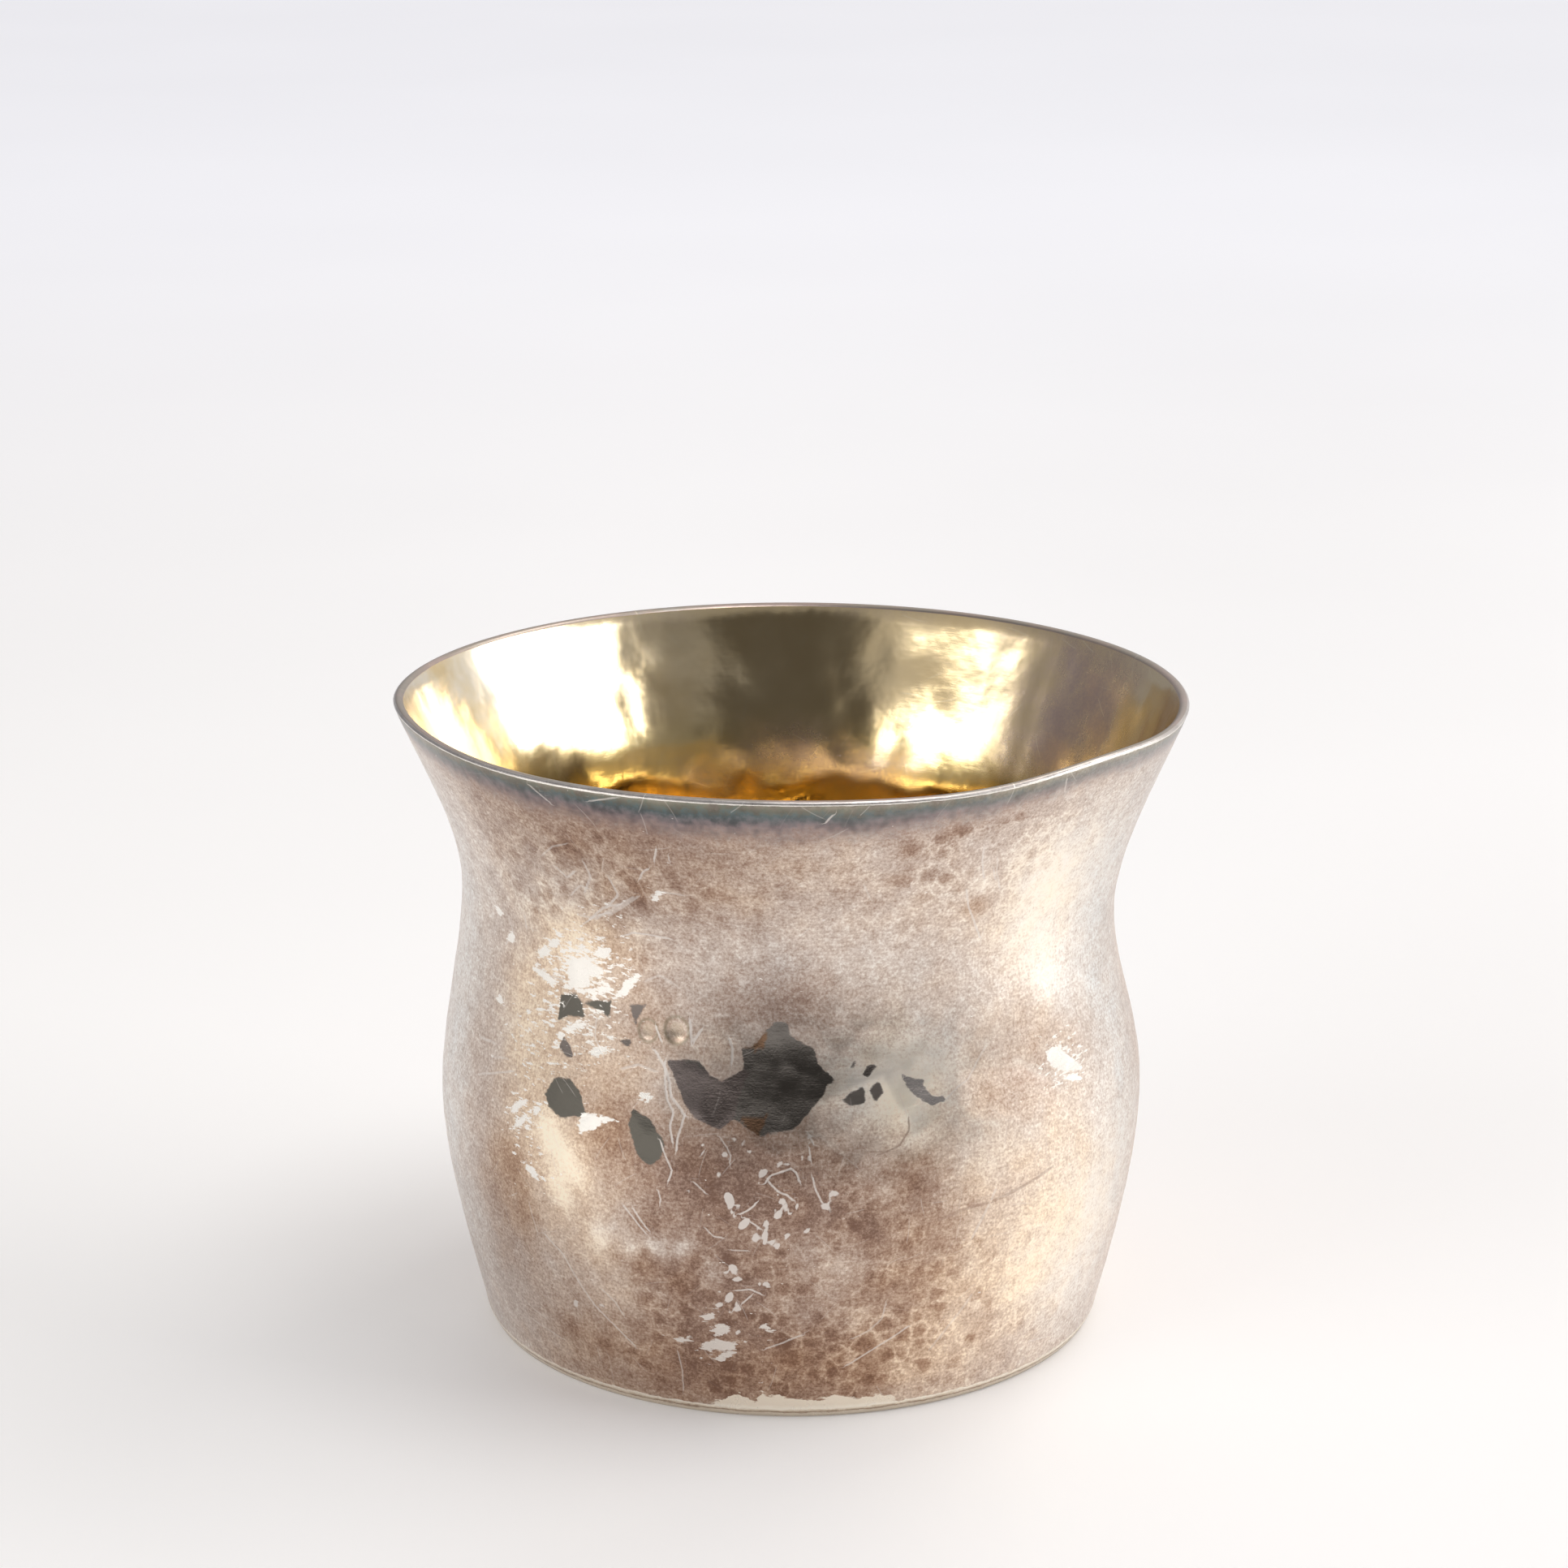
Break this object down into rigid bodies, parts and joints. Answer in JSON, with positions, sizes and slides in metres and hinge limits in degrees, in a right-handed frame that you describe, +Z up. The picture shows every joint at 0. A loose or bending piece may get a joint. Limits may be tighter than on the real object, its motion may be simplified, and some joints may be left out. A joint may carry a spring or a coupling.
{
  "type": "kiddush cup",
  "caption": "Hand-raised hammered silver beaker with a flared lip, soft waist, low belly and flat base, gilded inside, for ceremonial wine.",
  "frame": {"origin": "middle of the standing ring under the base, on the surface the cup stands on", "axes": "+Z up along the cup's axis, -Y towards the viewer of the picture, +X to the viewer's right"},
  "size_m": [0.074, 0.074, 0.0608],
  "materials": {
    "silver": "hammered silver with a warm brown tarnish, bare along the lip and base edge, gilded inside"
  },
  "bodies": {
    "root": {"cup": "silver"}
  },
  "joints": []
}
